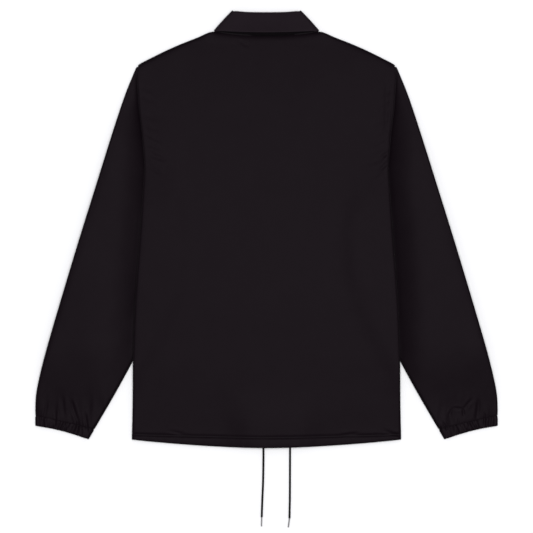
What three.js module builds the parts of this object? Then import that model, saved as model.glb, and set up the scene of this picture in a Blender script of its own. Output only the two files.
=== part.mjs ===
// A coach jacket laid flat, face down. Its back is up, and both sleeves pass under its sides.
// Millimetres: +X to the right as seen, +Y to the collar, +Z up from the surface it lies on.
import * as THREE from "three";

// Cloth and seams
const CLOTH = 1.5;
const HALF = CLOTH / 2;
const SEAM = 0.3;

// Heights of the middle of each cloth layer above the surface
const FLOOR_LAYER = HALF;
const BACK_LAYER = 6.15;
const STRIP_LAYER = 4.75;
const PRESSED_LAYER = 2.85;
const FREE_LAYER = 5.45;
const SLEEVE_LIFT = STRIP_LAYER - FLOOR_LAYER;
const WING_LIFT = CLOTH + SEAM;
const LAP_LIFT = CLOTH + SEAM;
const SNAP_LIFT = 1.5;
const HEM_LIFT = 5.2;
const BACK_HEM_LIFT = 4.6;

// The body
const SHOULDER = { x: 229, y: 288, bow: 4 };
const NECK = { x: 92.6, y: 347, backY: 339.4 };
const HEM = { half: 237.6, cornerY: -371.8, middleY: -387, bend: 1.7 };
const CASING = { middle: 19.4, corner: 9.5, raise: 0.8 };
const PLACKET = { x: 18, lap: 15, topY: 282 };
const BODY_SIDE = [
  { y: 288, half: 227.5, wrap: 4, rise: 0.5 },
  { y: 275, half: 228.6, wrap: 4, rise: 0.5 },
  { y: 251, half: 226.9, wrap: 4, rise: 0.5 },
  { y: 216, half: 224.7, wrap: 4, rise: 0.5 },
  { y: 160, half: 218.2, wrap: 4, rise: 0.5 },
  { y: 110, half: 214.1, wrap: 4, rise: 0.5 },
  { y: 76, half: 216.5, wrap: 22, rise: 1.6 },
  { y: 40, half: 219.3, wrap: 45, rise: 3.1 },
  { y: -20, half: 223.2, wrap: 44, rise: 3.1 },
  { y: -73, half: 227.5, wrap: 39, rise: 3.1 },
  { y: -143, half: 232.3, wrap: 32, rise: 3.1 },
  { y: -240, half: 235.4, wrap: 25, rise: 3.1 },
  { y: -302, half: 235.9, wrap: 21, rise: 3.1 },
  { y: -371.8, half: 237.6, wrap: 18, rise: 3.1 },
];
const ARMHOLE = [
  { y: 288, x: 224 },
  { y: 200, x: 212 },
  { y: 110, x: 190 },
  { y: 40, x: 174 },
];

// The sleeves: outer fold, and the underarm fold that lies hidden below the body
const SLEEVE_EDGE = [
  { y: 277, outer: 231.6 },
  { y: 254.6, outer: 242.2 },
  { y: 212.3, outer: 257.3 },
  { y: 149, outer: 277.5 },
  { y: 64.5, outer: 303.9 },
  { y: -20, outer: 330.3 },
  { y: -104.5, outer: 355.8 },
  { y: -188.9, outer: 380.8 },
  { y: -252.3, outer: 398 },
  { y: -294.5, outer: 406.6 },
  { y: -315.7, outer: 407.4 },
  { y: -347.3, outer: 407.6 },
];
const UNDERARM = [
  { y: 24, inner: 175 },
  { y: 0, inner: 161 },
  { y: -60, inner: 165 },
  { y: -130, inner: 185 },
  { y: -195, inner: 215 },
  { y: -252, inner: 245 },
  { y: -294.5, inner: 268.4 },
  { y: -336.8, inner: 293 },
  { y: -371.6, inner: 313 },
];
const UNDERARM_TOP = { x: 174.8, y: 40 };
const SLEEVE_END = -329.5;
const CUFF_EDGE = -347.3;
const CUFF_TILT = 24.3;
const CUFF_ARCH = 2.9;
const CUFF_GATHERS = 12;
const SLEEVE_RISE = 45;
const RAMP = { far: 34, near: 14 };

// The collar: fold corners, silhouette of its turned sides, and wings below the fronts
const COLLAR = {
  foldX: 60,
  foldY: 384.3,
  foldDip: 3.3,
  footX: 93,
  footY: 348.4,
  fallEdgeY: 344.4,
  fallEdgeSide: 3.2,
  fallLayer: 7.95,
  fallEdgeLift: 1,
  wingFrontX: 8,
  wingFrontY: 284,
  wingPointX: 46,
  wingPointY: 240,
};

// Cord, its tips, and the small fittings
const CORD = { diameter: 3.6, sides: 8, step: 8 };
const AGLET = { diameter: 2.4, sides: 16 };
const EYELET = { outer: 5, inner: 2.6, thick: 1, bottom: 3.9, y: -369 };
const SNAP = { radius: 7.5, thick: 1.2, count: 5, topY: 262, pitch: 145 };

const smooth = (t) => {
  const clamped = Math.min(Math.max(t, 0), 1);
  return clamped * clamped * (3 - 2 * clamped);
};
const mix = (a, b, t) => a + (b - a) * t;
const spread = (from, to, count) =>
  Array.from({ length: count }, (_, i) => mix(from, to, i / (count - 1)));

// A smooth curve through one column of a table whose rows fall in y.
function lookUp(table, y, column) {
  const last = table.length - 1;
  if (y >= table[0].y) return table[0][column];
  if (y <= table[last].y) return table[last][column];
  const i = table.findIndex((row, k) => y <= row.y && y > table[k + 1].y);
  const slope = (k) => {
    const above = table[Math.max(k - 1, 0)];
    const below = table[Math.min(k + 1, last)];
    return (below[column] - above[column]) / (below.y - above.y);
  };
  const [a, b] = [table[i], table[i + 1]];
  const h = b.y - a.y;
  const t = (y - a.y) / h;
  const blend = t * t * (3 - 2 * t);
  const bend = h * t * (1 - t) * ((1 - t) * slope(i) - t * slope(i + 1));
  return mix(a[column], b[column], blend) + bend;
}

// A closed wall of cloth on a grid of middle points; raise thickens its outer face.
function wall(grid, raise = () => 0) {
  const rows = grid.length;
  const columns = grid[0].length;
  const outer = [];
  const inner = [];
  grid.forEach((line, i) =>
    line.forEach((point, j) => {
      const along = new THREE.Vector3().subVectors(
        line[Math.min(j + 1, columns - 1)],
        line[Math.max(j - 1, 0)],
      );
      const up = new THREE.Vector3().subVectors(
        grid[Math.min(i + 1, rows - 1)][j],
        grid[Math.max(i - 1, 0)][j],
      );
      const normal = along.cross(up).normalize();
      outer.push(point.clone().addScaledVector(normal, HALF + raise(point, i, j)));
      inner.push(point.clone().addScaledVector(normal, -HALF));
    }),
  );
  const top = (i, j) => i * columns + j;
  const low = (i, j) => rows * columns + i * columns + j;
  const index = [];
  const quad = (a, b, c, d) => index.push(a, b, c, a, c, d);
  for (let i = 0; i < rows - 1; i += 1) {
    for (let j = 0; j < columns - 1; j += 1) {
      quad(top(i, j), top(i, j + 1), top(i + 1, j + 1), top(i + 1, j));
      quad(low(i, j), low(i + 1, j), low(i + 1, j + 1), low(i, j + 1));
    }
    quad(top(i, 0), top(i + 1, 0), low(i + 1, 0), low(i, 0));
    quad(
      top(i, columns - 1),
      low(i, columns - 1),
      low(i + 1, columns - 1),
      top(i + 1, columns - 1),
    );
  }
  for (let j = 0; j < columns - 1; j += 1) {
    quad(top(0, j), low(0, j), low(0, j + 1), top(0, j + 1));
    quad(
      top(rows - 1, j),
      top(rows - 1, j + 1),
      low(rows - 1, j + 1),
      low(rows - 1, j),
    );
  }
  const geometry = new THREE.BufferGeometry().setFromPoints([...outer, ...inner]);
  geometry.setIndex(index);
  geometry.computeVertexNormals();
  return geometry;
}

// The same grid on the other side of the garment, still facing out.
const mirrored = (grid) =>
  grid.map((line) =>
    line.map((point) => new THREE.Vector3(-point.x, point.y, point.z)).reverse(),
  );

// Outlines of the body

const bodyHalf = (y) => lookUp(BODY_SIDE, y, "half");

function hemY(x) {
  const share = Math.abs(x) / HEM.half;
  return mix(HEM.middleY, HEM.cornerY, share ** HEM.bend);
}

function backTopY(x) {
  const side = Math.abs(x);
  if (side <= NECK.x) return mix(NECK.backY, NECK.y, (side / NECK.x) ** 2);
  const share = (side - NECK.x) / (SHOULDER.x - NECK.x);
  return mix(NECK.y, SHOULDER.y, share) + SHOULDER.bow * Math.sin(Math.PI * share);
}

function frontTopY(x) {
  const side = Math.abs(x - PLACKET.x);
  const reach = NECK.x - 3;
  if (Math.abs(x) < reach) {
    const span = Math.abs(Math.sign(x - PLACKET.x) * reach - PLACKET.x);
    return mix(PLACKET.topY, NECK.y - 5, (side / span) ** 3);
  }
  return backTopY(x) - 5;
}

const casingWidth = (x) =>
  mix(CASING.middle, CASING.corner, (Math.abs(x) / HEM.half) ** 2);

// Heights of the layers

// How far each raised place of the cloth reaches, and how wide its edge's slope is
const WING_REACH = { x: 114, fromY: 185, slope: 20 };
const SNAP_REACH = { half: 34 };
const LAP_REACH = { x: 66 };
const CORD_REACH = { half: 56, y: -340 };
const BACK_CORD_REACH = { half: 80, slopeX: 26, y: -300, slopeY: 34 };
const SLOPE = 14;

// 0 beside the sleeve and 1 where the body lies on it
function onSleeve(x, y) {
  const inner = lookUp(UNDERARM, y, "inner");
  return smooth((Math.abs(x) - inner + RAMP.far) / (RAMP.far - RAMP.near));
}

function onCords(x, y) {
  const across = smooth((CORD_REACH.half - Math.abs(x - PLACKET.x)) / SLOPE);
  return across * smooth((CORD_REACH.y - y) / SLOPE);
}

const onWing = (x) => smooth((WING_REACH.x - Math.abs(x)) / SLOPE);

function frontHeight(x, y, lapped) {
  const wing = WING_LIFT * smooth((y - WING_REACH.fromY) / WING_REACH.slope) * onWing(x);
  const snap = SNAP_LIFT * smooth((SNAP_REACH.half - Math.abs(x - PLACKET.x)) / SLOPE);
  const cords = HEM_LIFT * onCords(x, y);
  const sleeve = SLEEVE_LIFT * onSleeve(x, y) * smooth((UNDERARM_TOP.y - y) / 16);
  const lap = lapped ? LAP_LIFT * smooth((LAP_REACH.x - x) / SLOPE) : 0;
  return FLOOR_LAYER + Math.max(wing, snap, cords) + sleeve + lap;
}

function backHeight(x, y) {
  const sleeve = lookUp(BODY_SIDE, y, "rise") * onSleeve(x, y);
  const { half, slopeX, y: fromY, slopeY } = BACK_CORD_REACH;
  const across = smooth((half - Math.abs(x - PLACKET.x)) / slopeX);
  return BACK_LAYER + sleeve + BACK_HEM_LIFT * across * smooth((fromY - y) / slopeY);
}

const stripHeight = (x, y) =>
  y > UNDERARM[0].y ? STRIP_LAYER : FLOOR_LAYER + SLEEVE_LIFT * onSleeve(x, y);

// Points of a half turn of cloth about a fold: height from one layer to the other.
function halfTurn(edge, low, high, steps) {
  const radius = (high - low) / 2;
  return spread(-Math.PI / 2, Math.PI / 2, steps).map((angle) => ({
    x: edge - HALF - radius + radius * Math.cos(angle),
    z: (low + high) / 2 + radius * Math.sin(angle),
  }));
}

// The back, with its sides turned under the body and its shoulders turned over

const BACK_COLUMNS = [0, 0.14, 0.28, 0.404, 0.5, 0.6, 0.68, 0.75, 0.82, 0.88, 0.94];
const BODY_ROWS = [
  -325, -287, -250, -225, -195, -160, -120, -80, -40, 0, 24, 40, 76, 95, 112,
  145, 180, 220, 255, 272,
];
const SHOULDER_TURN = [
  { back: 2.7, drop: 0 },
  { back: 0.9, drop: 0.3 },
  { back: 0, drop: 0.5 },
  { back: 0.9, drop: 0.8 },
];

function backSide(y, flat) {
  const half = bodyHalf(y);
  const top = backHeight(half, y);
  const under = stripHeight(half, y);
  const turn = halfTurn(half, under, top, 5);
  const end = half - lookUp(BODY_SIDE, y, "wrap");
  const strip = spread(end, turn[0].x, 4).slice(0, 3);
  const points = strip.map((x) => ({ x, z: stripHeight(x, y) })).concat(turn).reverse();
  if (!flat) return points;
  return points.map((_, k) => ({ x: half - HALF - 3 + 0.4 * k, z: top }));
}

function backRow(shareUp, offHem, turn) {
  const side = [];
  const edgeY = turn || !offHem
    ? mix(HEM.cornerY, SHOULDER.y, shareUp)
    : HEM.cornerY + offHem * CASING.corner;
  const edgePoints = backSide(edgeY, turn !== undefined);
  const flatEnd = edgePoints[0].x;
  BACK_COLUMNS.forEach((share) => {
    const top = backTopY(share * SHOULDER.x);
    const bottom = hemY(share * HEM.half);
    const shoulder = smooth((share - 0.38) / 0.1);
    let y = mix(bottom, top, shareUp);
    if (offHem) y = bottom + offHem * casingWidth(share * HEM.half);
    let x = share * bodyHalf(y);
    if (share > 0.9) x = Math.min(x, flatEnd - 3);
    let z = backHeight(x, y);
    if (turn) {
      const depth = z - FLOOR_LAYER - WING_LIFT * onWing(x);
      y = top - mix(0.5 + turn.order, turn.back + HALF, shoulder);
      z -= shoulder * turn.drop * depth;
    }
    side.push(new THREE.Vector3(x, y, z));
  });
  edgePoints.forEach(({ x, z }) => {
    let y = edgeY;
    let height = z;
    if (turn) {
      y = backTopY(x) - turn.back - HALF;
      height -= turn.drop * (z - FLOOR_LAYER);
    }
    side.push(new THREE.Vector3(x, y, height));
  });
  const left = side
    .slice(1)
    .map((p) => new THREE.Vector3(-p.x, p.y, backLeftHeight(p)))
    .reverse();
  return left.concat(side);
}

// The body's left half lies as its right half does, apart from the cords' rise.
function backLeftHeight(p) {
  return p.z + (p.z > FREE_LAYER ? backHeight(-p.x, p.y) - backHeight(p.x, p.y) : 0);
}

function backGrid() {
  const rows = [
    backRow(0, 0),
    backRow(0, 0.94),
    backRow(0, 1.12),
  ];
  BODY_ROWS.forEach((y) => {
    rows.push(backRow((y - HEM.cornerY) / (SHOULDER.y - HEM.cornerY), 0));
  });
  SHOULDER_TURN.forEach((turn, k) => {
    rows.push(backRow(1, 0, { ...turn, order: (SHOULDER_TURN.length - 1 - k) * 0.9 }));
  });
  return rows;
}

const casingRaise = (point, row) =>
  row < 2 && point.z > FREE_LAYER ? CASING.raise : 0;

// The fronts, from the lap at the placket to the armhole and side seam

const FRONT_COLUMNS = 15;
const FRONT_EDGE_X = 224;

const frontEdge = (y) =>
  y > UNDERARM_TOP.y
    ? lookUp(ARMHOLE, y, "x")
    : bodyHalf(y) - lookUp(BODY_SIDE, y, "wrap") - SEAM;

function frontGrid(hand) {
  const lapped = hand > 0;
  const centre = PLACKET.x * hand - PLACKET.lap;
  const rows = [HEM.cornerY, HEM.cornerY + 12, -340].concat(BODY_ROWS, SHOULDER.y);
  return rows.map((edgeY) => {
    const shareUp = (edgeY - HEM.cornerY) / (SHOULDER.y - HEM.cornerY);
    const line = spread(0, 1, FRONT_COLUMNS).map((share) => {
      const nominal = mix(centre, FRONT_EDGE_X, share) * hand;
      const bottom = hemY(nominal) + 1.5;
      const y = mix(bottom, frontTopY(nominal), shareUp);
      const x = mix(centre, frontEdge(y), share) * hand;
      return new THREE.Vector3(x, y, frontHeight(x, y, lapped));
    });
    return hand > 0 ? line : line.reverse();
  });
}

// A sleeve: a flattened tube whose underarm seam lies under the body

const SLEEVE_ROWS = [
  277, 262, 240, 212, 180, 149, 118, 90, 64, 40, 24, 6, -20, -60, -104, -146, -189, -225,
  -252, -275, -295, -312, SLEEVE_END,
];
const CREASES = [
  { at: 0.3, wide: 0.05, deep: 1.1 },
  { at: 0.52, wide: 0.06, deep: 0.8 },
  { at: 0.74, wide: 0.05, deep: 1.3 },
];

function upperHeight(x, y) {
  const clear = smooth((x - bodyHalf(y) - 2) / SLEEVE_RISE);
  return mix(PRESSED_LAYER, FREE_LAYER, clear);
}

function creaseDepth(across, y) {
  const near = smooth((SLEEVE_END + 70 - y) / 60);
  const fold = ({ at, wide, deep }) => deep * Math.exp(-(((across - at) / wide) ** 2));
  return near * CREASES.reduce((sum, crease) => sum + fold(crease), 0);
}

// Middle points round one section, from the underarm through the lower layer to the upper
function sleeveSection(rowY, shape) {
  const open = rowY >= UNDERARM_TOP.y;
  const tilt = CUFF_TILT * smooth((24 - rowY) / (24 - SLEEVE_END));
  const innerY = open ? rowY : rowY - tilt;
  const outer = lookUp(SLEEVE_EDGE, rowY, "outer");
  const inner = lookUp(UNDERARM, innerY, "inner");
  const seam = bodyHalf(rowY) - lookUp(BODY_SIDE, rowY, "wrap") - 2;
  const over = open ? Math.max(seam, UNDERARM_TOP.x) : inner;
  const under = open ? lookUp(ARMHOLE, rowY, "x") + 3 * SEAM : inner;
  const place = (x, z) => {
    const across = (outer - x) / (outer - inner);
    const arch = shape.arch * Math.sin(Math.PI * Math.min(Math.max(across, 0), 1));
    return new THREE.Vector3(x, mix(rowY, innerY, across) + arch, z);
  };
  const upper = (x) => {
    const across = (outer - x) / (outer - inner);
    const y = mix(rowY, innerY, across);
    const height = upperHeight(x, y) - creaseDepth(across, rowY);
    return place(x, height + shape.wave(across));
  };
  const outerTurn = halfTurn(outer, FLOOR_LAYER, upperHeight(outer, rowY), 5);
  const innerHigh = upperHeight(inner, innerY);
  const innerTurn = halfTurn(0, FLOOR_LAYER, innerHigh, 5)
    .map(({ x, z }) => ({ x: inner - x, z }))
    .reverse();
  const start = open
    ? spread(under, under + 2, 5).map((x) => place(x, FLOOR_LAYER))
    : innerTurn.map(({ x, z }) => place(x, z));
  const lowerFrom = start[4].x;
  const lower = spread(lowerFrom, outerTurn[0].x, shape.lower + 2).slice(1, -1);
  const upperFrom = outerTurn[4].x;
  const end = open ? over : innerTurn[0].x + SEAM + 0.1;
  const edge = Math.max(
    bodyHalf(rowY) + Math.min(2, 0.3 * (outer - bodyHalf(rowY))),
    mix(end, upperFrom, 0.25),
  );
  const spans = [
    ...spread(upperFrom, edge, shape.upper).slice(1),
    ...spread(edge, end, 6).slice(1),
  ];
  return [
    ...start,
    ...lower.map((x) => place(x, FLOOR_LAYER)),
    ...outerTurn.map(({ x, z }) => place(x, z)),
    ...spans.map((x) => upper(x)),
  ];
}

const sleeveGrid = () => {
  const shape = { lower: 5, upper: 9, arch: 0, wave: () => 0 };
  return SLEEVE_ROWS.map((y) => sleeveSection(y, shape));
};

// The elastic casing at the sleeve's end, its upper layer drawn into gathers
function cuffGrid() {
  const rows = [
    { y: SLEEVE_END - SEAM - 0.2, deep: 0.5 },
    { y: SLEEVE_END - 3, deep: 0.8 },
    { y: mix(SLEEVE_END, CUFF_EDGE, 0.6), deep: 0.7 },
    { y: CUFF_EDGE, deep: 1 },
  ];
  return rows.map(({ y, deep }, k) => {
    const wave = (across) => {
      const phase = 2 * Math.PI * CUFF_GATHERS * (across + 0.02 * Math.sin(9 * across + k));
      const uneven = 0.75 + 0.25 * Math.sin(17 * across);
      return deep * uneven * Math.sin(phase) * smooth(6 * across) * smooth(6 * (1 - across));
    };
    const arch = (CUFF_ARCH * k) / (rows.length - 1);
    return sleeveSection(y, { lower: 8, upper: 42, arch, wave });
  });
}

// The collar

// A stretch of the collar strip seen in plan: from neck or fold line, right-hand half.
const collarTurn = (radius, steps) =>
  spread(Math.PI / 2, -Math.PI / 2, steps).map((angle) => ({
    out: radius * Math.cos(angle),
    up: Math.sin(angle),
  }));
const COLLAR_SIDE = new THREE.Vector2(0.75, 0.66);

function frontShift(hand, forward) {
  return PLACKET.x * hand * smooth(forward * 1.6);
}

// One line of the collar's half: back points, the turn at its side, then the wing's points.
function collarLine(hand, line) {
  const { side, back, front, high, low, twist = 0 } = line;
  const middle = (high + low) / 2;
  const radius = (high - low) / 2;
  const points = [];
  for (const share of [0, 0.25, 0.5, 0.75, 0.92]) {
    const lift = line.lift ? line.lift(share) : 0;
    const x = share * (side.x - radius * 0.75);
    points.push(new THREE.Vector3(x, back(share), high - twist + lift));
  }
  collarTurn(radius, 5).forEach(({ out, up }) => {
    const x = side.x - HALF + (out - radius) * COLLAR_SIDE.x;
    const y = side.y - HALF * 0.5 + (out - radius) * COLLAR_SIDE.y;
    points.push(new THREE.Vector3(x, y, middle + up * (radius - twist)));
  });
  for (const share of [0.15, 0.4, 0.7, 1]) {
    const { x, y } = front(share);
    points.push(new THREE.Vector3(x + frontShift(hand, share), y, low + 0.2 * twist));
  }
  return points;
}

const collarGrid = (lines) =>
  lines.map((line) => {
    const right = collarLine(1, line);
    const left = collarLine(-1, line)
      .slice(1)
      .map((p) => new THREE.Vector3(-p.x, p.y, p.z))
      .reverse();
    return left.concat(right);
  });

function fallLine(down, twist, fold) {
  const side = {
    x: mix(COLLAR.foldX, COLLAR.footX, down) + 3 * Math.sin(Math.PI * down) * 0.3 + 1,
    y: mix(COLLAR.foldY, COLLAR.footY, down),
  };
  const foldY = (share) => COLLAR.foldY - COLLAR.foldDip * (1 - share ** 4) - fold;
  const edgeY = (share) => COLLAR.fallEdgeY + COLLAR.fallEdgeSide * share ** 2;
  return {
    side,
    back: (share) => mix(foldY(share), edgeY(share), down),
    front: (share) => {
      const roll = new THREE.Vector2(COLLAR.foldX - 6 - fold, COLLAR.foldY - 10);
      roll.lerp(new THREE.Vector2(COLLAR.wingFrontX, COLLAR.wingFrontY), share);
      const edge = new THREE.Vector2(COLLAR.footX - 8, COLLAR.footY - 12);
      edge.lerp(new THREE.Vector2(COLLAR.wingPointX, COLLAR.wingPointY), share);
      return roll.lerp(edge, down);
    },
    high: COLLAR.fallLayer,
    low: FLOOR_LAYER,
    twist,
    lift: (share) => COLLAR.fallEdgeLift * down ** 3 * (1 - 0.6 * share ** 2),
  };
}

function fallGrid() {
  return collarGrid([
    fallLine(0.99, 0, 0),
    fallLine(0.9, 0, 0),
    fallLine(0.7, 0, 0),
    fallLine(0.45, 0, 0),
    fallLine(0.2, 0, 0),
    fallLine(0.06, 0, 1.4),
    fallLine(0, 0.5, HALF),
    fallLine(0, 1.3, HALF - 0.1),
  ]);
}

function standLine(up) {
  const side = {
    x: mix(COLLAR.footX - 4.5, COLLAR.foldX - 1.5, up),
    y: mix(COLLAR.footY, COLLAR.foldY - 4, up),
  };
  const neckY = (share) => backTopY(share * NECK.x) + SEAM + 0.5;
  const foldY = (share) => COLLAR.foldY - COLLAR.foldDip * (1 - share ** 4) - 3;
  return {
    side,
    back: (share) => mix(neckY(share), foldY(share), up),
    front: (share) => {
      const neckX = mix(COLLAR.footX - 9, COLLAR.wingFrontX + 8, share);
      const neck = new THREE.Vector2(neckX, mix(COLLAR.footY, PLACKET.topY + 2, share ** 0.5));
      const roll = new THREE.Vector2(COLLAR.foldX - 8, COLLAR.foldY - 12);
      roll.lerp(new THREE.Vector2(COLLAR.wingFrontX + 2, COLLAR.wingFrontY + 8), share);
      return neck.lerp(roll, up);
    },
    high: BACK_LAYER,
    low: FLOOR_LAYER + WING_LIFT + SEAM,
  };
}

const standGrid = () => collarGrid([0, 0.3, 0.65, 1].map((up) => standLine(up)));

// Hardware and cord

function snapCap() {
  const { radius, thick } = SNAP;
  const profile = [
    [0, 0],
    [radius * 0.75, 0.05],
    [radius * 0.95, 0.35],
    [radius, thick * 0.6],
    [radius * 0.98, thick],
    [0, thick],
  ].map(([x, y]) => new THREE.Vector2(x, y));
  return new THREE.LatheGeometry(profile, 24).rotateX(Math.PI / 2);
}

function eyeletRing() {
  const { outer, inner, thick } = EYELET;
  const shape = new THREE.Shape().absarc(0, 0, outer, 0, 2 * Math.PI);
  shape.holes.push(new THREE.Path().absarc(0, 0, inner, 0, 2 * Math.PI));
  return new THREE.ExtrudeGeometry(shape, {
    depth: thick,
    bevelEnabled: false,
    curveSegments: 12,
  });
}

// Routes of the cord's two free ends, from the eyelet to where the tip begins, with the
// height of the cord's lower side. The right front lies on the left one, so it starts higher.
const CORD_ROUTES = {
  left: [
    [-5.3, -369, 0],
    [-5.3, -374, 0],
    [-5.29, -380, 0],
    [-5.28, -387, 0],
    [-5.3, -395, 0],
    [-5.36, -404, 0],
    [-5.44, -413, 0],
    [-5.55, -422, 0],
    [-5.7, -431, 0],
    [-5.88, -440, 0],
    [-6.11, -449, 0],
    [-6.43, -458, 0],
    [-6.84, -467, 0],
    [-7.24, -476, 0],
    [-7.6, -485, 0],
    [-7.93, -494, 0],
    [-8.17, -501, 0],
    [-8.4, -508.2, 0],
  ],
  right: [
    [41.5, -369, 1.8],
    [41.5, -374, 1.8],
    [41.5, -380, 1.1],
    [41.51, -387, 0.3],
    [41.5, -395, 0],
    [41.48, -404, 0],
    [41.45, -413, 0],
    [41.41, -422, 0],
    [41.38, -431, 0],
    [41.35, -440, 0],
    [41.32, -449, 0],
    [41.28, -458, 0],
    [41.22, -467, 0],
    [41.12, -476, 0],
    [40.96, -485, 0],
    [40.78, -494, 0],
    [40.64, -502, 0],
    [40.5, -510.2, 0],
  ],
};
const EYELET_RISE = { left: 0, right: LAP_LIFT };
const TIPS = { left: [-8.8, -524.4, 0], right: [38.4, -526.1, 0] };

function tube(points, diameter, sides, steps) {
  const radius = diameter / 2;
  const ring = spread(0, 2 * Math.PI, sides + 1).slice(0, sides);
  const section = new THREE.Shape(
    ring.map((angle) => {
      const turned = angle + Math.PI / sides;
      return new THREE.Vector2(radius * Math.cos(turned), radius * Math.sin(turned));
    }),
  );
  const route = points.map(([x, y, low]) => new THREE.Vector3(x, y, low + radius));
  const extrudePath = new THREE.CatmullRomCurve3(route, false, "centripetal");
  return new THREE.ExtrudeGeometry(section, { steps, extrudePath });
}

function cordTube(side) {
  const route = CORD_ROUTES[side];
  const length = route[0][1] - route.at(-1)[1];
  const steps = Math.round(length / CORD.step);
  return tube(route, CORD.diameter, CORD.sides, steps);
}

function agletTube(side) {
  const [endX, endY] = CORD_ROUTES[side].at(-1);
  const start = [endX, endY - SEAM - 0.1, 0];
  return tube([start, TIPS[side]], AGLET.diameter, AGLET.sides, 1);
}

// The jacket

const MATERIALS = {
  shell: { color: "#1d191d", roughness: 0.62, metalness: 0 },
  cord: { color: "#141214", roughness: 0.85, metalness: 0 },
  tip: { color: "#8a8a8c", roughness: 0.35, metalness: 0 },
  metal: { color: "#1a1a1c", roughness: 0.4, metalness: 0.6 },
};
for (const [name, look] of Object.entries(MATERIALS)) {
  MATERIALS[name] = new THREE.MeshStandardMaterial(look);
}

const jacket = new THREE.Group();

function add(name, geometry, material, position = [0, 0, 0]) {
  const mesh = new THREE.Mesh(geometry, MATERIALS[material]);
  mesh.name = name;
  mesh.position.set(...position);
  jacket.add(mesh);
}

add("back", wall(backGrid(), casingRaise), "shell");
add("front_left", wall(frontGrid(-1)), "shell");
add("front_right", wall(frontGrid(1)), "shell");
add("sleeve_right", wall(sleeveGrid()), "shell");
add("sleeve_left", wall(mirrored(sleeveGrid())), "shell");
add("cuff_right", wall(cuffGrid()), "shell");
add("cuff_left", wall(mirrored(cuffGrid())), "shell");
add("collar_fall", wall(fallGrid()), "shell");
add("collar_stand", wall(standGrid()), "shell");
for (let i = 0; i < SNAP.count; i += 1) {
  const y = SNAP.topY - i * SNAP.pitch;
  add(`snap_${i + 1}`, snapCap(), "metal", [PLACKET.x, y, 0]);
}
for (const side of ["left", "right"]) {
  const [x] = CORD_ROUTES[side][0];
  const bottom = EYELET.bottom + EYELET_RISE[side];
  add(`eyelet_${side}`, eyeletRing(), "metal", [x, EYELET.y, bottom]);
  add(`drawcord_${side}`, cordTube(side), "cord");
  add(`aglet_${side}`, agletTube(side), "tip");
}

export default jacket;
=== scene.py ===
import math

import bmesh
import bpy
from mathutils import Matrix, Vector, noise
from mathutils.bvhtree import BVHTree


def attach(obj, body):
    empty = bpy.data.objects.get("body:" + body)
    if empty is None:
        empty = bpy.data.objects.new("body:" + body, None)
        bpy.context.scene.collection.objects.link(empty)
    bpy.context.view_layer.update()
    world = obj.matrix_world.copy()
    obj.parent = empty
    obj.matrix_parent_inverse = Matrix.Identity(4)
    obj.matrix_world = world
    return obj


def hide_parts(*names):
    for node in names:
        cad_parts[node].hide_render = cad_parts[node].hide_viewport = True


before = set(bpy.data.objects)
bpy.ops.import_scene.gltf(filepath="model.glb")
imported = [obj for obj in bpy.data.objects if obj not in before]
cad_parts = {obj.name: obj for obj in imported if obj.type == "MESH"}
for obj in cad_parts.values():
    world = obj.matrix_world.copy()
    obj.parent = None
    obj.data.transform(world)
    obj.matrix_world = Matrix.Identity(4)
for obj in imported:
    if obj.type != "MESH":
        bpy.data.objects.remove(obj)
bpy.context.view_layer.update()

# A coach jacket laid flat, face down: the collar points to +y and the back faces up.
# Lengths are in millimetres, in the part's own frame, unless a comment says otherwise.
MM = 0.001
BODY = "root"

# Frame of the photograph: millimetres of jacket for each pixel, and the part's origin in pixels
PIXEL = 1.76
ORIGIN_PIXEL = (266.5, 228.65)
PHOTO_SIZE = 533
LENS = 200
SENSOR = 36

# The frame's scale holds at this height, in the middle of the cloth's layers
SCALE_HEIGHT = 6


def at_pixel(px, py):
    """The place in the part of a pixel of the photograph."""
    return (px - ORIGIN_PIXEL[0]) * PIXEL, (ORIGIN_PIXEL[1] - py) * PIXEL


def smooth(t):
    """A soft step from 0 to 1 while t goes from 0 to 1."""
    t = min(max(t, 0.0), 1.0)
    return t * t * (3 - 2 * t)


def between(rows, at, outside):
    """The second number of a table of pairs, read between two of its first numbers."""
    for (a, first), (b, second) in zip(rows, rows[1:]):
        if min(a, b) <= at <= max(a, b):
            return first + (second - first) * (at - a) / (b - a)
    return outside


def linear(code):
    """An sRGB hex colour as linear red, green, blue and alpha."""
    parts = [int(code[i : i + 2], 16) / 255 for i in (1, 3, 5)]
    return [c / 12.92 if c < 0.04045 else ((c + 0.055) / 1.055) ** 2.4 for c in parts] + [1.0]


def add_node(tree, kind, inputs=None, **settings):
    """A shader node with its settings, its values and the sockets that feed it."""
    made = tree.nodes.new(kind)
    for name, value in settings.items():
        setattr(made, name, value)
    for name, value in (inputs or {}).items():
        socket = made.inputs[name]
        if isinstance(value, bpy.types.NodeSocket):
            tree.links.new(value, socket)
        else:
            socket.default_value = value
    return made


def add_object(name, data):
    """An object at the origin, in the scene."""
    made = bpy.data.objects.new(name, data)
    bpy.context.scene.collection.objects.link(made)
    return made


def mesh_of(shape, name):
    """A new mesh from a bmesh, which is then let go."""
    mesh = bpy.data.meshes.new(name)
    shape.to_mesh(mesh)
    shape.free()
    return mesh


# Camera straight above, framing what the photograph frames

def set_camera():
    data = bpy.data.cameras.new("camera")
    data.lens = LENS
    data.sensor_width = SENSOR
    field = PHOTO_SIZE * PIXEL
    _, middle_y = at_pixel(PHOTO_SIZE / 2, PHOTO_SIZE / 2)
    camera = add_object("camera", data)
    camera.location = Vector((0, middle_y, field * LENS / SENSOR + SCALE_HEIGHT)) * MM
    bpy.context.scene.camera = camera


# Materials

# The yarn is 0.3 mm in the real cloth, too fine to show, so it is drawn as coarse as this
YARN = 1.1
YARN_RELIEF = 0.12

# Patches where the cloth's tone and surface change a little
PATCH = 35
PATCH_RELIEF = 1.2

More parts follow.
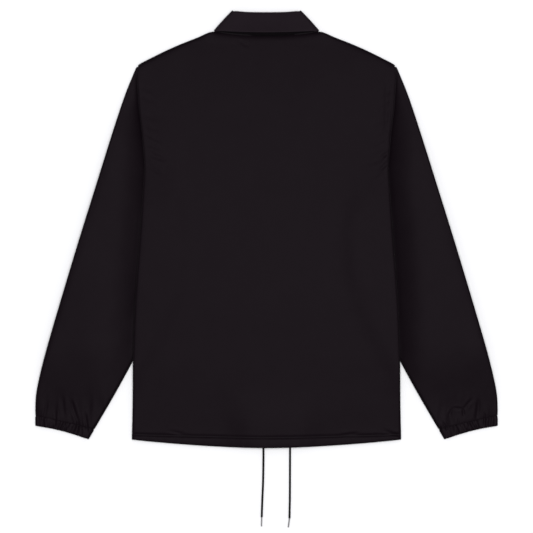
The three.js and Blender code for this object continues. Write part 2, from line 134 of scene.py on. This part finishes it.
# Strands of the cord's braid
STRAND = 1.0
STRAND_RELIEF = 0.3

# Waves of Blender's Wave node in one unit of length, at a scale of 1
WAVES_A_UNIT = 20 / (2 * math.pi)

# The Mix node's sockets for colours, which share their names with its other sockets
MIX_FIRST = 6
MIX_SECOND = 7
MIX_RESULT = 2

# How far the sleeves lean from the body's middle line, in degrees
SLEEVE_LEAN = 17.0

# Two shades of each cloth's black. The collar's is a little lighter, as in the photograph. The
# stand's black is painted shade: darker than shade alone makes it, because the line under the
# fall is nearly black.
SHELL_BLACK = ("#0B060A", "#0E090D")
COLLAR_BLACK = ("#151014", "#191318")
STAND_PAINTED_SHADE_BLACK = ("#080608", "#0A080A")

# Matched to the photograph: very little mirror light, a little violet, and a trace of sheen
SHELL_GLOSS = {
    "Roughness": 0.36,
    "IOR": 1.5,
    "Sheen Weight": 0.04,
    "Sheen Roughness": 0.45,
    "Specular IOR Level": 0.0195,
    "Specular Tint": (1.0, 0.86, 0.97, 1.0),
}


def new_material(name, values):
    """A material with values set on its shader's own sockets."""
    material = bpy.data.materials.new(name)
    material.use_nodes = True
    tree = material.node_tree
    shader = tree.nodes["Principled BSDF"]
    for socket, value in values.items():
        shader.inputs[socket].default_value = value
    return material, tree, shader


def refinish(node, finish):
    """A better finish on a solid whose shape stays as it is."""
    node.data.materials.clear()
    node.data.materials.append(finish)


def weave_height(tree, place, turn, thread):
    """Height of a plain weave: two sets of threads crossing, turned by some degrees."""
    turned = add_node(
        tree,
        "ShaderNodeMapping",
        {"Vector": place, "Rotation": (0, 0, math.radians(turn))},
    ).outputs["Vector"]
    sets = []
    for direction in ("X", "Y"):
        wave = add_node(
            tree,
            "ShaderNodeTexWave",
            {
                "Vector": turned,
                "Scale": 1 / (WAVES_A_UNIT * thread * MM),
                "Distortion": 0.6,
                "Detail": 1.0,
            },
            bands_direction=direction,
        )
        sets.append(wave.outputs["Fac"])
    return add_node(
        tree,
        "ShaderNodeMath",
        {0: sets[0], 1: sets[1]},
        operation="MULTIPLY",
    ).outputs[0]


def shell_nylon(name, turn, blacks):
    """Nylon shell, a tight plain weave of filament yarn: nearly flat black to the eye, with a
    faint soft gloss that changes a little from patch to patch."""
    material, tree, shader = new_material(name, SHELL_GLOSS)
    place = add_node(tree, "ShaderNodeTexCoord").outputs["Object"]
    weave = weave_height(tree, place, turn, YARN)
    patches = add_node(
        tree,
        "ShaderNodeTexNoise",
        {"Vector": place, "Scale": 1 / (PATCH * MM), "Detail": 3.0, "Roughness": 0.55},
    ).outputs["Fac"]
    shade = add_node(
        tree,
        "ShaderNodeMix",
        {"Factor": patches, MIX_FIRST: linear(blacks[0]), MIX_SECOND: linear(blacks[1])},
        data_type="RGBA",
    ).outputs[MIX_RESULT]
    rumple = add_node(
        tree,
        "ShaderNodeBump",
        {"Height": patches, "Strength": 0.25, "Distance": PATCH_RELIEF * MM},
    ).outputs["Normal"]
    bump = add_node(
        tree,
        "ShaderNodeBump",
        {"Height": weave, "Normal": rumple, "Strength": 0.3, "Distance": YARN_RELIEF * MM},
    ).outputs["Normal"]
    tree.links.new(shade, shader.inputs["Base Color"])
    tree.links.new(bump, shader.inputs["Normal"])
    return material


def fitting_finish(name, colour, roughness, specular, grain, depth):
    """A small fitting's or thread's finish, with a fine grain that breaks up its gloss."""
    values = {
        "Base Color": linear(colour),
        "Roughness": roughness,
        "Specular IOR Level": specular,
    }
    material, tree, shader = new_material(name, values)
    place = add_node(tree, "ShaderNodeTexCoord").outputs["Object"]
    grain_height = add_node(
        tree,
        "ShaderNodeTexNoise",
        {"Vector": place, "Scale": 1 / (grain * MM), "Detail": 2.0},
    ).outputs["Fac"]
    bump = add_node(
        tree,
        "ShaderNodeBump",
        {"Height": grain_height, "Strength": 0.4, "Distance": depth * MM},
    ).outputs["Normal"]
    tree.links.new(bump, shader.inputs["Normal"])
    return material


def braided_cord(name, colour):
    """Braided polyester: matte strands that cross at 45 degrees in a fine raised check."""
    values = {"Base Color": linear(colour), "Roughness": 0.8, "Specular IOR Level": 0.1}
    material, tree, shader = new_material(name, values)
    place = add_node(tree, "ShaderNodeTexCoord").outputs["Object"]
    strands = weave_height(tree, place, 45, STRAND)
    bump = add_node(
        tree,
        "ShaderNodeBump",
        {"Height": strands, "Strength": 0.5, "Distance": STRAND_RELIEF * MM},
    ).outputs["Normal"]
    tree.links.new(bump, shader.inputs["Normal"])
    return material


# Creases: each is a soft trough with two raised lips

# A lip's place in widths of the trough, and its height as a share of the trough's depth
LIP_AT = 1.7
LIP_SHARE = 0.35

# Each end fades over this share of the length and one width more
FADE_SHARE = 0.3

# How many widths a crease reaches to its sides and past its ends
REACH_ACROSS = 3
REACH_ALONG = 2

# Each crease: its ends in pixels of the photograph, then its width and depth in millimetres
BACK_CREASES = [
    {"from": (240, 40), "to": (247, 47), "wide": 2.6, "deep": 0.8},
    {"from": (382, 430), "to": (401, 436), "wide": 2.6, "deep": 0.6},
    {"from": (387, 78), "to": (386, 138), "wide": 4.0, "deep": 0.5},
    {"from": (392, 96), "to": (390, 150), "wide": 3.0, "deep": 0.4},
    {"from": (393, 150), "to": (380, 158), "wide": 2.6, "deep": 0.8},
    {"from": (391, 160), "to": (378, 171), "wide": 3.0, "deep": 0.7},
    {"from": (168, 431), "to": (185, 434), "wide": 2.2, "deep": 0.6},
    {"from": (340, 435), "to": (360, 433), "wide": 2.2, "deep": 0.6},
]
LEFT_CUFF_CREASES = [
    {"from": (70.5, 399), "to": (78, 423), "wide": 2.7, "deep": 1.1},
    {"from": (78, 420), "to": (77, 434), "wide": 2.4, "deep": 0.9},
    {"from": (85, 412), "to": (87.6, 433), "wide": 2.2, "deep": 0.8},
    {"from": (55.5, 408), "to": (55.5, 428), "wide": 1.9, "deep": 0.6},
    {"from": (47, 402), "to": (44, 420), "wide": 2.4, "deep": 0.5},
    {"from": (62, 396), "to": (64, 416), "wide": 3.2, "deep": 0.5},
]
RIGHT_CUFF_CREASES = [
    {"from": (472, 399), "to": (464, 409), "wide": 2.4, "deep": 0.8},
    {"from": (479, 398), "to": (476, 421), "wide": 3.2, "deep": 0.6},
    {"from": (484.7, 412), "to": (484.5, 426), "wide": 1.8, "deep": 0.5},
    {"from": (442, 422), "to": (448, 430), "wide": 2.1, "deep": 0.7},
    {"from": (449, 415), "to": (453, 408), "wide": 2.1, "deep": 0.7},
    {"from": (453, 408), "to": (463, 409), "wide": 2.1, "deep": 0.7},
    {"from": (463, 409), "to": (464, 416), "wide": 2.1, "deep": 0.7},
    {"from": (458, 418), "to": (460, 430), "wide": 1.9, "deep": 0.5},
]

# Puckers of the left armhole: row and length in pixels, and depth in millimetres
ARMHOLE_PUCKERS = [
    {"y": 86, "long": 7, "deep": 0.5},
    {"y": 95, "long": 9, "deep": 0.7},
    {"y": 105, "long": 6, "deep": 0.5},
    {"y": 114, "long": 11, "deep": 0.8},
    {"y": 124, "long": 8, "deep": 0.6},
    {"y": 133, "long": 12, "deep": 0.9},
    {"y": 143, "long": 9, "deep": 0.7},
    {"y": 153, "long": 13, "deep": 0.8},
    {"y": 164, "long": 8, "deep": 0.6},
]
# How the left and the right armhole use that list: -1 mirrors it, then come a share of the
# depths and how many pixels further down it starts
ARMHOLES = [
    {"hand": 1, "share": 0.8, "down": 0},
    {"hand": -1, "share": 0.4, "down": 4},
]
PUCKER_WIDE = 3.4
PUCKER_INSET_PX = 1.5
PUCKER_RUN_PX = 6
PUCKER_SLANTS_PX = (6, 8, 10)

# The body's left edge beside the armhole, in pixels: row, then column
BODY_EDGE_PX = [(68, 137), (106, 140.5), (154, 146), (184, 144.5), (228, 141.3)]


def trough(x, y, start, end, wide, deep):
    """How far one crease moves the cloth at a place: down in the trough, up at its lips."""
    ax, ay = start
    bx, by = end
    length = math.hypot(bx - ax, by - ay)
    along = ((x - ax) * (bx - ax) + (y - ay) * (by - ay)) / length
    across = ((x - ax) * (by - ay) - (y - ay) * (bx - ax)) / length
    past_end = max(-along, along - length)
    if abs(across) > REACH_ACROSS * wide or past_end > REACH_ALONG * wide:
        return 0.0
    fade = length * FADE_SHARE + wide
    taper = smooth((along + wide) / fade) * smooth((length + wide - along) / fade)
    lips = math.exp(-(((abs(across) - LIP_AT * wide) / wide) ** 2))
    return taper * deep * (LIP_SHARE * lips - math.exp(-((across / wide) ** 2)))


def relief(x, y, troughs):
    """How far all the creases of a piece move it at a place."""
    return sum(trough(x, y, *row) for row in troughs)


def as_troughs(rows):
    """A table of creases, with pixels turned into places in the part."""
    return [(at_pixel(*r["from"]), at_pixel(*r["to"]), r["wide"], r["deep"]) for r in rows]


def puckers(hand, share, down):
    """Short slanting puckers that one armhole's seam draws in beside it."""
    rows = []
    for k, pucker in enumerate(ARMHOLE_PUCKERS):
        py = pucker["y"]
        px = between(BODY_EDGE_PX, py, BODY_EDGE_PX[-1][1]) + PUCKER_INSET_PX
        slant = PUCKER_SLANTS_PX[k % len(PUCKER_SLANTS_PX)]
        start_x, start_y = at_pixel(px, py + down)
        end_x, end_y = at_pixel(px + pucker["long"] + PUCKER_RUN_PX, py + down + slant)
        start = (hand * start_x, start_y)
        end = (hand * end_x, end_y)
        rows.append((start, end, PUCKER_WIDE, pucker["deep"] * share))
    return rows


BACK_TROUGHS = as_troughs(BACK_CREASES)
for armhole in ARMHOLES:
    BACK_TROUGHS += puckers(**armhole)
CUFF_TROUGHS = as_troughs(LEFT_CUFF_CREASES) + as_troughs(RIGHT_CUFF_CREASES)


# Unevenness of cloth laid out by hand: each wave's spacing, height and a seed for its places

BACK_WAVES = [(95, 0.5, 3.1), (38, 0.18, 7.7)]
SLEEVE_WAVES = [(70, 0.7, 5.5), (26, 0.2, 1.5)]
SLEEVE_GATHERS = [(30, 0.6, 9.0)]
CUFF_GATHERS = [(14, 0.5, 4.0)]
SLEEVE_SQUEEZE = 3.2
CUFF_SQUEEZE = 3.4
GATHER_STRETCH = 0.8


def slow_waves(x, y, rows):
    """The sum of a table of waves at a place."""
    total = 0.0
    for size, height, seed in rows:
        total += height * noise.noise(Vector((x / size, y / size, seed)))
    return total


def gathers(x, y, squeeze, rows):
    """Waves that an elastic draws close together across the sleeve and long along it."""
    return slow_waves(x * squeeze, y * GATHER_STRETCH, rows)


# The neck seam, and the dip of the back beside it

NECK_HALF = 92.6
NECK_MIDDLE_Y = 339.4
NECK_SIDE_Y = 347.0
NECK_DIP = 2.2
NECK_DIP_REACH = 4.5
NECK_DIP_HALF = 100
NECK_DIP_FADE = 12


def neck_y(x):
    return NECK_MIDDLE_Y + (NECK_SIDE_Y - NECK_MIDDLE_Y) * (x / NECK_HALF) ** 2


# The hem, and its casing's line of stitching, in millimetres above the hem's edge

HEM_HALF = 237.6
HEM_CORNER_Y = -371.8
HEM_MIDDLE_Y = -387.0
HEM_BEND = 1.7
CASING_MIDDLE = 19.4
CASING_CORNER = 9.5
GROOVE_DEEP = 1.0
GROOVE_WIDE = 2.6
CASING_RIPPLE = {"high": 0.35, "long": 7, "wide": 16, "seed": 2.2, "from": -10, "fade": 12}

# Nothing of the casing's relief lies further above its line than this
CASING_REACH = 12


def hem_y(x):
    share = abs(x) / HEM_HALF
    return HEM_MIDDLE_Y + (HEM_CORNER_Y - HEM_MIDDLE_Y) * share**HEM_BEND


def casing_y(x):
    share = abs(x) / HEM_HALF
    return hem_y(x) + CASING_MIDDLE + (CASING_CORNER - CASING_MIDDLE) * share**2


def casing_lift(x, y):
    """The groove that the casing's stitching pulls in, and the ripples of the casing below."""
    below = casing_y(x) - y
    if below <= -CASING_REACH:
        return 0.0
    ripple = CASING_RIPPLE
    spot = Vector((x / ripple["long"], below / ripple["wide"], ripple["seed"]))
    high = ripple["high"] * noise.noise(spot)
    high *= smooth((below - ripple["from"]) / ripple["fade"])
    return high - GROOVE_DEEP * math.exp(-((below / GROOVE_WIDE) ** 2))


# The back: air below it, creases, and finer faces where it has relief

BODY_AIR = 6.0
AIR_MIDDLE_Y = -20
AIR_HALF_LENGTH = 345

# Heights of a layer's lower face, and how far above it the cloth is lifted in full
BACK_FROM = 3.6
SLEEVE_FROM = 1.5
LIFT_FADE = 0.8

# Where the back has finer faces: above this height, and there beyond this line at the neck,
# up to this far above the casing's line, and this near to a crease
BACK_FINE_FROM = 5
BACK_FINE_Y = 318
CASING_FINE = 12
CREASE_FINE = 6


def back_lift(x, y):
    height = relief(x, y, BACK_TROUGHS)
    height += BODY_AIR * max(1 - ((y - AIR_MIDDLE_Y) / AIR_HALF_LENGTH) ** 2, 0)
    dip = NECK_DIP * math.exp(-((neck_y(x) - y) / NECK_DIP_REACH))
    height -= dip * smooth((NECK_DIP_HALF - abs(x)) / NECK_DIP_FADE)
    height += slow_waves(x, y, BACK_WAVES)
    return height + casing_lift(x, y)


def near_crease(x, y):
    """Whether a place lies in the box round one of the back's creases."""
    for (ax, ay), (bx, by), _, _ in BACK_TROUGHS:
        in_x = min(ax, bx) - CREASE_FINE < x < max(ax, bx) + CREASE_FINE
        in_y = min(ay, by) - CREASE_FINE < y < max(ay, by) + CREASE_FINE
        if in_x and in_y:
            return True
    return False


def back_refine(x, y, z):
    if z < BACK_FINE_FROM:
        return False
    return y < casing_y(x) + CASING_FINE or y > BACK_FINE_Y or near_crease(x, y)


# The sleeves: air in them, creases and gathers above the cuffs

# Half of the body's width where it lies over the sleeves: y, then x, to a few millimetres
BODY_HALF = [
    (284, 229),
    (216, 224.7),
    (160, 218.2),
    (110, 214.1),
    (40, 219.3),
    (-73, 227.5),
    (-143, 232.3),
    (-240, 235.4),
    (-400, 238),
]

# The sleeve's outer fold: where it starts at the shoulder, its slope, and x beside the cuff
OUTER_TOP = {"x": 231, "y": 277}
OUTER_SLOPE = 0.323
OUTER_CUFF = {"x": 404, "y": -290}

# Height of the air: at most this much, and at most this share of the width that shows
SLEEVE_PUFF = {"left": 8.0, "right": 10.0}
PUFF_SHARE = 0.16

# It starts this far out from the body's edge, and climbs over this width or share of the width
PUFF_START = 1
PUFF_CLIMB = 28.0
CLIMB_SHARE = 0.3

# The share that it loses close to the outer fold, and where it ends above the cuff
OUTER_LOSS = 0.05
OUTER_LOSS_WIDTH = 12
PUFF_END_Y = -345
PUFF_END_FADE = 150

# The gathers above the cuff, where the sleeve's upper layer has finer faces too
GATHER_TOP_Y = -270
GATHER_FADE = 60
SLEEVE_FINE_FROM = 1.6


def sleeve_puff(x, y):
    """Air in the sleeve: its upper layer climbs steeply from under the body's edge and soon
    levels out, then sinks to the outer fold, and it thins out towards shoulder and cuff."""
    body = between(BODY_HALF, y, BODY_HALF[0][1])
    outer = OUTER_TOP["x"] + (OUTER_TOP["y"] - y) * OUTER_SLOPE
    if y < OUTER_CUFF["y"]:
        outer = OUTER_CUFF["x"]
    width = max(outer - body, 1.0)
    clear = max(abs(x) - body - PUFF_START, 0.0)
    height = min(SLEEVE_PUFF["right" if x > 0 else "left"], PUFF_SHARE * width)
    climb = 1 - math.exp(-clear / min(PUFF_CLIMB, CLIMB_SHARE * width))
    fall = 1 - OUTER_LOSS + OUTER_LOSS * smooth((outer - abs(x)) / OUTER_LOSS_WIDTH)
    ends = smooth((y - PUFF_END_Y) / PUFF_END_FADE)
    return height * climb * fall * ends


def sleeve_lift(x, y):
    height = sleeve_puff(x, y) + relief(x, y, CUFF_TROUGHS) + slow_waves(x, y, SLEEVE_WAVES)
    near_cuff = smooth((GATHER_TOP_Y - y) / GATHER_FADE)
    return height + near_cuff * gathers(x, y, SLEEVE_SQUEEZE, SLEEVE_GATHERS)


def sleeve_refine(x, y, z):
    return y < GATHER_TOP_Y and z > SLEEVE_FINE_FROM


def cuff_lift(x, y):
    return relief(x, y, CUFF_TROUGHS) + gathers(x, y, CUFF_SQUEEZE, CUFF_GATHERS)


# Seams: the edge of one piece goes on below the next, where the part keeps a gap

# A cuff's upper outer corner, the way up the sleeve, and the cuff's middle line, for the right
# side and mirrored for the left
CUFF_START = {"x": 407.4, "y": -329.5}
CUFF_AXIS = (-0.225, 0.974)
CUFF_MIDDLE = {"x": 356, "y": -341, "lean": -0.2}
CUFF_TUCK = {"from": -3.0, "run": 2.4, "narrow": 0.012, "slide": 2.4, "sink": 0.5, "fade": 1.5}

SLEEVE_TUCK = {"from_y": 262, "run": 15, "in": 2.6, "up": 8.5}
COLLAR_FOOT = {"x": 97, "half": 16, "from_y": 325, "run": 14, "up": 2.6}
SHOULDER_TIP = {"x": 226.5, "y": 287.5, "reach": 7, "in": 0.8, "down": 0.9}
FALL_EDGE = {"from_y": 378, "run": 30, "most": 1.2, "from_z": 6, "up": 3.4, "side_loss": 0.5}
STAND_EDGE = {"run": 9, "from_z": 3.6, "down": 4.0, "sink": 5.0}


def tuck_cuff(x, y, z):
    """The casing's upper edge, slid a little way into the sleeve's end."""
    tuck = CUFF_TUCK
    along = (abs(x) - CUFF_START["x"]) * CUFF_AXIS[0] + (y - CUFF_START["y"]) * CUFF_AXIS[1]
    share = smooth((along - tuck["from"]) / tuck["run"])
    middle = CUFF_MIDDLE["x"] + (y - CUFF_MIDDLE["y"]) * CUFF_MIDDLE["lean"]
    narrowed = middle + (abs(x) - middle) * (1 - tuck["narrow"] * share)
    slide = tuck["slide"] * share
    return (
        math.copysign(narrowed + CUFF_AXIS[0] * slide, x),
        y + CUFF_AXIS[1] * slide,
        z - tuck["sink"] * share * smooth((z - SLEEVE_FROM) / tuck["fade"]),
    )


def tuck_sleeve(x, y, z):
    """The sleeve's head, run up below the back's corner."""
    tuck = SLEEVE_TUCK
    share = smooth((y - tuck["from_y"]) / tuck["run"])
    return math.copysign(abs(x) - tuck["in"] * share, x), y + tuck["up"] * share, z


def tuck_back(x, y, z):
    """The shoulder's inner end, drawn up to the collar's foot, and its tip made blunt."""
    foot = COLLAR_FOOT
    share = math.exp(-(((abs(x) - foot["x"]) / foot["half"]) ** 2))
    share *= smooth((y - foot["from_y"]) / foot["run"])
    tip = SHOULDER_TIP
    corner = math.hypot(abs(x) - tip["x"], y - tip["y"])
    blunt = math.exp(-((corner / tip["reach"]) ** 2))
    moved_x = x - math.copysign(tip["in"] * blunt, x)
    return moved_x, y + foot["up"] * share - tip["down"] * blunt, z


def tuck_fall(x, y, z):
    """The fall's lower edge, which stands off the back and leaves a dark gap below it."""
    edge = FALL_EDGE
    share = min(max((edge["from_y"] - y) / edge["run"], 0), edge["most"])
    share *= smooth(z - edge["from_z"])
    return x, y, z + edge["up"] * share * (1 - edge["side_loss"] * (x / NECK_HALF) ** 2)


def tuck_stand(x, y, z):
    """The stand's lower edge, run in below the back's neck edge."""
    edge = STAND_EDGE
    share = smooth((neck_y(x) + edge["run"] - y) / edge["run"]) * smooth(z - edge["from_z"])
    return x, y - edge["down"] * share, z - edge["sink"] * share


# Cloth pieces: a smoothed copy of each wall, with finer faces where it has relief

# Corners closer than this are one, and triangles this nearly flat and square pair up
SAME_CORNER = 0.001
FLAT_PAIR = math.radians(50)
SQUARE_PAIR = math.radians(60)


def wall_copy(name):
    """A copy of a wall's mesh, its corners joined and its triangles paired."""
    shape = bmesh.new()
    shape.from_mesh(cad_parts[name].data)
    bmesh.ops.remove_doubles(shape, verts=shape.verts, dist=SAME_CORNER * MM)
    bmesh.ops.join_triangles(
        shape,
        faces=shape.faces,
        angle_face_threshold=FLAT_PAIR,
        angle_shape_threshold=SQUARE_PAIR,
    )
    return mesh_of(shape, f"{name}_cloth")


def smoothed_mesh(piece, levels):
    """The piece's mesh after subdivision, which rounds its edges."""
    modifier = piece.modifiers.new("smooth", "SUBSURF")
    modifier.levels = levels
    modifier.render_levels = levels
    view = bpy.context.evaluated_depsgraph_get()
    mesh = bpy.data.meshes.new_from_object(piece.evaluated_get(view))
    piece.modifiers.clear()
    return mesh


def edge_middle(edge):
    return (edge.verts[0].co + edge.verts[1].co) / 2 / MM


def refine_edges(shape, refine):
    edges = [edge for edge in shape.edges if refine(*edge_middle(edge))]
    bmesh.ops.subdivide_edges(shape, edges=edges, cuts=1, use_grid_fill=True)


def tuck_edges(shape, tuck):
    for vert in shape.verts:
        vert.co = Vector(tuck(*(vert.co / MM))) * MM


def lift_layer(shape, lift, layer_from):
    """Lifts what lies above a layer's lower face, and leaves the layers below it."""
    for vert in shape.verts:
        x, y, z = vert.co / MM
        weight = smooth((z - layer_from) / LIFT_FADE)
        if weight:
            vert.co.z += lift(x, y) * weight * MM


def shade_smooth(shape):
    for face in shape.faces:
        face.smooth = True


def cloth_piece(name, levels, lift=None, refine=None, layer_from=0.0, tuck=None):
    """One sewn piece, in place of its solid."""
    piece = add_object(f"{name}_cloth", wall_copy(name))
    piece.data = smoothed_mesh(piece, levels)
    shape = bmesh.new()
    shape.from_mesh(piece.data)
    if refine:
        refine_edges(shape, refine)
    if tuck:
        tuck_edges(shape, tuck)
    if lift:
        lift_layer(shape, lift, layer_from)
    shade_smooth(shape)
    shape.to_mesh(piece.data)
    shape.free()
    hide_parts(name)
    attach(piece, BODY)
    return piece


# Stitching

# A stitch's length is a share of the pitch, and its middle stands a share of the thread proud
STITCH_PITCH = 3.2
STITCH_SHARE = 0.72
THREAD = 0.8
THREAD_PROUD = 0.1
HEM_LINE_XS = range(-228, 229, 12)

# A height above the whole jacket, from where the cloth's surface is looked for
ABOVE_ALL = 40


def stitch_places(row):
    """Each stitch's place and turn along a line of points, one pitch apart."""
    distance = 0.0
    for (ax, ay), (bx, by) in zip(row, row[1:]):
        length = math.hypot(bx - ax, by - ay)
        turn = math.atan2(by - ay, bx - ax)
        while distance < length:
            t = distance / length
            yield ax + (bx - ax) * t, ay + (by - ay) * t, turn
            distance += STITCH_PITCH
        distance -= length


def add_stitch(shape, hit, turn):
    """One short slim bead of thread, sunk a little into the cloth."""
    size = Vector((STITCH_PITCH * STITCH_SHARE, THREAD, THREAD)) / 2 * MM
    place = Matrix.Translation(hit + Vector((0, 0, THREAD * THREAD_PROUD * MM)))
    place @= Matrix.Rotation(turn, 4, "Z")
    place @= Matrix.Diagonal((*size, 1))
    bmesh.ops.create_icosphere(shape, subdivisions=1, radius=1, matrix=place)


def stitch_row(name, row, carrier, material):
    """A row of lock stitch, laid on the cloth that carries it."""
    tree = BVHTree.FromObject(carrier, bpy.context.evaluated_depsgraph_get())
    shape = bmesh.new()
    for x, y, turn in stitch_places(row):
        hit = tree.ray_cast(Vector((x, y, ABOVE_ALL)) * MM, Vector((0, 0, -1)))[0]
        if hit is not None:
            add_stitch(shape, hit, turn)
    shade_smooth(shape)
    piece = add_object(name, mesh_of(shape, name))
    piece.data.materials.append(material)
    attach(piece, BODY)


# Cord: the two free ends of the hem's drawcord, as x, y and the height of the lower side

CORD_DIAMETER = 3.6
CORD_ROUTES = {
    "left": [
        (-5.3, -369, 0),
        (-5.3, -374, 0),
        (-5.29, -380, 0),
        (-5.28, -387, 0),
        (-5.3, -395, 0),
        (-5.36, -404, 0),
        (-5.44, -413, 0),
        (-5.55, -422, 0),
        (-5.7, -431, 0),
        (-5.88, -440, 0),
        (-6.11, -449, 0),
        (-6.43, -458, 0),
        (-6.84, -467, 0),
        (-7.24, -476, 0),
        (-7.6, -485, 0),
        (-7.93, -494, 0),
        (-8.17, -501, 0),
        (-8.4, -508.2, 0),
    ],
    "right": [
        (41.5, -369, 1.8),
        (41.5, -374, 1.8),
        (41.5, -380, 1.1),
        (41.51, -387, 0.3),
        (41.5, -395, 0),
        (41.48, -404, 0),
        (41.45, -413, 0),
        (41.41, -422, 0),
        (41.38, -431, 0),
        (41.35, -440, 0),
        (41.32, -449, 0),
        (41.28, -458, 0),
        (41.22, -467, 0),
        (41.12, -476, 0),
        (40.96, -485, 0),
        (40.78, -494, 0),
        (40.64, -502, 0),
        (40.5, -510.2, 0),
    ],
}


def cord_curve(name, route):
    """A round cord along a route, as one open spline."""
    data = bpy.data.curves.new(name, "CURVE")
    data.dimensions = "3D"
    data.bevel_depth = CORD_DIAMETER / 2 * MM
    data.bevel_resolution = 4
    data.resolution_u = 6
    data.use_fill_caps = True
    spline = data.splines.new("BEZIER")
    spline.bezier_points.add(len(route) - 1)
    for point, place in zip(spline.bezier_points, route):
        point.co = Vector(place) * MM
        point.handle_left_type = "AUTO"
        point.handle_right_type = "AUTO"
    return add_object(name, data)


def drawcord_end(side, braid, tip_film):
    """One free end of the drawcord, with its tip, whose solid stays and gets a finish."""
    route = [(x, y, low + CORD_DIAMETER / 2) for x, y, low in CORD_ROUTES[side]]
    cord = cord_curve(f"drawcord_{side}_braid", route)
    cord.data.materials.append(braid)
    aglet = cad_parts[f"aglet_{side}"]
    refinish(aglet, tip_film)
    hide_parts(f"drawcord_{side}")
    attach(cord, BODY)


# Floor and light

FLOOR_GREY = "#E6E6E8"

# In metres: half of the floor's width, its drop below the cloth, the light's place and width
FLOOR_HALF = 12
FLOOR_DROP = 0.0003
LIGHT_PLACE = (0.22, 0.1, 6.2)
LIGHT_WIDTH = 3.7
LIGHT_WATTS = 350
WORLD_STRENGTH = 0.5


def floor_plane():
    shape = bmesh.new()
    bmesh.ops.create_grid(shape, x_segments=1, y_segments=1, size=FLOOR_HALF)
    bmesh.ops.translate(shape, verts=shape.verts, vec=(0, 0, -FLOOR_DROP))
    values = {"Base Color": linear(FLOOR_GREY), "Roughness": 0.9, "Specular IOR Level": 0.0}
    material, _, _ = new_material("pale_floor", values)
    floor = add_object("floor", mesh_of(shape, "floor"))
    floor.data.materials.append(material)


def overhead_light():
    """A wide soft light above, aimed at the jacket's middle."""
    data = bpy.data.lights.new("overhead", "AREA")
    data.shape = "SQUARE"
    data.size = LIGHT_WIDTH
    data.energy = LIGHT_WATTS
    light = add_object("overhead", data)
    light.location = LIGHT_PLACE
    light.rotation_euler = (-Vector(LIGHT_PLACE)).to_track_quat("-Z", "Y").to_euler()


def studio_world():
    """Soft white light from all round, shown without a film look."""
    world = bpy.data.worlds.new("studio")
    world.use_nodes = True
    background = world.node_tree.nodes["Background"]
    background.inputs["Color"].default_value = (1, 1, 1, 1)
    background.inputs["Strength"].default_value = WORLD_STRENGTH
    bpy.context.scene.world = world
    bpy.context.scene.view_settings.view_transform = "Standard"


# Making

set_camera()

# Acetate film rolled tight round the cord's end: a smooth grey tip with a soft shine
tip_film = fitting_finish("rolled_acetate_tip", "#6C6A6C", 0.35, 0.5, 2.0, 0.05)
braid = braided_cord("braided_polyester_cord", "#0A090A")
for side in CORD_ROUTES:
    drawcord_end(side, braid, tip_film)

shell = shell_nylon("woven_nylon_shell", 0, SHELL_BLACK)
shell_left = shell_nylon("woven_nylon_left_sleeve", -SLEEVE_LEAN, SHELL_BLACK)
shell_right = shell_nylon("woven_nylon_right_sleeve", SLEEVE_LEAN, SHELL_BLACK)
collar_shell = shell_nylon("woven_nylon_collar", 90, COLLAR_BLACK)
# The stand's cloth is darkened with painted shade, for the dark line under the collar's fall
stand_painted_shade_shell = shell_nylon("woven_nylon_stand_painted_shade", 90, STAND_PAINTED_SHADE_BLACK)

back = cloth_piece("back", 2, back_lift, back_refine, BACK_FROM, tuck_back)
back.data.materials.append(shell)

# The other sewn pieces: subdivision, material, and the size and area of the cut, in metres
SHEETS = {
    "front_left": {"levels": 1, "flat": (0.26, 0.72), "area": 0.16, "material": shell},
    "front_right": {"levels": 1, "flat": (0.22, 0.72), "area": 0.136, "material": shell},
    "sleeve_left": {"levels": 2, "flat": (0.33, 0.65), "area": 0.159, "material": shell_left},
    "sleeve_right": {"levels": 2, "flat": (0.33, 0.65), "area": 0.159, "material": shell_right},
    "cuff_left": {"levels": 2, "flat": (0.21, 0.019), "area": 0.0039, "material": shell_left},
    "cuff_right": {"levels": 2, "flat": (0.21, 0.019), "area": 0.0039, "material": shell_right},
    "collar_fall": {"levels": 2, "flat": (0.45, 0.07), "area": 0.0172, "material": collar_shell},
    # The stand's black is painted shade
    "collar_stand": {"levels": 2, "flat": (0.4, 0.045), "area": 0.0124, "material": stand_painted_shade_shell},
}

# How each of them is shaped: lift, refine, its layer's lower face, and tuck
SLEEVE_SHAPING = (sleeve_lift, sleeve_refine, SLEEVE_FROM, tuck_sleeve)
CUFF_SHAPING = (cuff_lift, None, SLEEVE_FROM, tuck_cuff)
SHAPING = {
    "sleeve_left": SLEEVE_SHAPING,
    "sleeve_right": SLEEVE_SHAPING,
    "cuff_left": CUFF_SHAPING,
    "cuff_right": CUFF_SHAPING,
    "collar_fall": (None, None, 0.0, tuck_fall),
    "collar_stand": (None, None, 0.0, tuck_stand),
}
for name, row in SHEETS.items():
    piece = cloth_piece(name, row["levels"], *SHAPING.get(name, ()))
    piece.data.materials.append(row["material"])

# Moulded acetal: black stud caps with a satin gloss
stud = fitting_finish("moulded_acetal_stud", "#161518", 0.35, 0.4, 3.0, 0.05)

# Brass under black lacquer: the eye sees the lacquer's soft shine and no metal
lacquer = fitting_finish("black_lacquered_brass", "#18171A", 0.4, 0.5, 2.0, 0.05)
for name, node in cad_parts.items():
    if name.startswith("snap"):
        refinish(node, stud)
    if name.startswith("eyelet"):
        refinish(node, lacquer)

# Spun polyester thread: matte, a shade off the cloth's black, its stitches just visible
thread = fitting_finish("spun_polyester_thread", "#0F0C0F", 0.7, 0.3, 0.6, 0.1)
hem_line = [(x, casing_y(x)) for x in HEM_LINE_XS]
stitch_row("hem_stitching", hem_line, back, thread)

floor_plane()
overhead_light()
studio_world()
